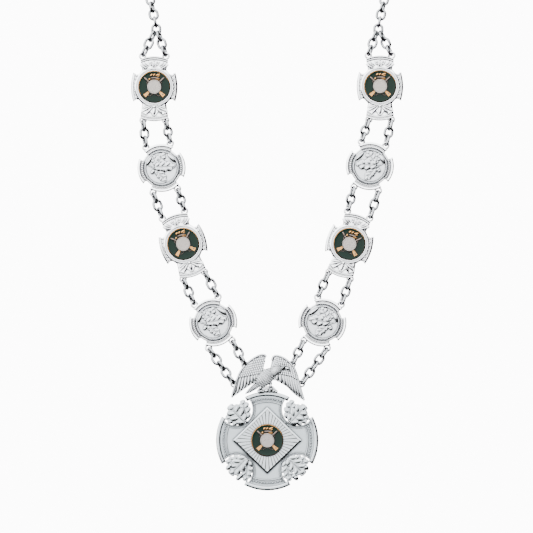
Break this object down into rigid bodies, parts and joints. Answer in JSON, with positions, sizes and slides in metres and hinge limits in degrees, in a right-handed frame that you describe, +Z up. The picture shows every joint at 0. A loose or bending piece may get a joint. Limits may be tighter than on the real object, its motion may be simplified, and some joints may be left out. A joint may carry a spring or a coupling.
{
  "type": "chain of office",
  "caption": "silver-plated chain of office with a cross pendant under an eagle, enamelled and oak-leaf plaques on double link chains, and a plain link chain for the shoulders",
  "frame": {"origin": "centre of the ring at the nape, which the whole chain hangs from", "axes": "+Z up, +X to the right as the front is seen, -Y towards the viewer of the front"},
  "size_m": [0.2126, 0.009, 0.5653],
  "materials": {
    "silver_plating": "bright silver plating with a fine cast grain",
    "matte_silver": "matte silver cast relief",
    "green_enamel": "dark green enamel in a gilt rim",
    "gilt_brass": "struck and gilt",
    "pale_disc": "fine stippled matte disc"
  },
  "bodies": {
    "root": {"back_ring": "silver_plating", "back_chain_left": "silver_plating", "back_chain_right": "silver_plating", "yoke_chain_left": "silver_plating", "yoke_chain_right": "silver_plating", "enamel_plaque_left_1": "silver_plating", "enamel_roundel_left_1": "green_enamel", "emblem_left_1": "gilt_brass", "centre_disc_left_1": "pale_disc", "enamel_plaque_left_3": "silver_plating", "enamel_roundel_left_3": "green_enamel", "emblem_left_3": "gilt_brass", "centre_disc_left_3": "pale_disc", "oak_plaque_left_2": "silver_plating", "oak_medallion_left_2": "matte_silver", "oak_plaque_left_4": "silver_plating", "oak_medallion_left_4": "matte_silver", "strand_left_12_left": "silver_plating", "strand_left_12_right": "silver_plating", "strand_left_23_left": "silver_plating", "strand_left_23_right": "silver_plating", "strand_left_34_left": "silver_plating", "strand_left_34_right": "silver_plating", "pendant_strand_left_outer": "silver_plating", "pendant_strand_left_inner": "silver_plating", "enamel_plaque_right_1": "silver_plating", "enamel_roundel_right_1": "green_enamel", "emblem_right_1": "gilt_brass", "centre_disc_right_1": "pale_disc", "enamel_plaque_right_3": "silver_plating", "enamel_roundel_right_3": "green_enamel", "emblem_right_3": "gilt_brass", "centre_disc_right_3": "pale_disc", "oak_plaque_right_2": "silver_plating", "oak_medallion_right_2": "matte_silver", "oak_plaque_right_4": "silver_plating", "oak_medallion_right_4": "matte_silver", "strand_right_12_left": "silver_plating", "strand_right_12_right": "silver_plating", "strand_right_23_left": "silver_plating", "strand_right_23_right": "silver_plating", "strand_right_34_left": "silver_plating", "strand_right_34_right": "silver_plating", "pendant_strand_right_outer": "silver_plating", "pendant_strand_right_inner": "silver_plating", "pendant_cross": "silver_plating", "pendant_lozenge": "silver_plating", "pendant_roundel": "green_enamel", "pendant_emblem": "gilt_brass", "pendant_disc": "pale_disc", "leaf_spray_upper_right": "matte_silver", "leaf_spray_upper_left": "matte_silver", "leaf_spray_lower_left": "matte_silver", "leaf_spray_lower_right": "matte_silver", "eagle": "silver_plating"}
  },
  "joints": []
}
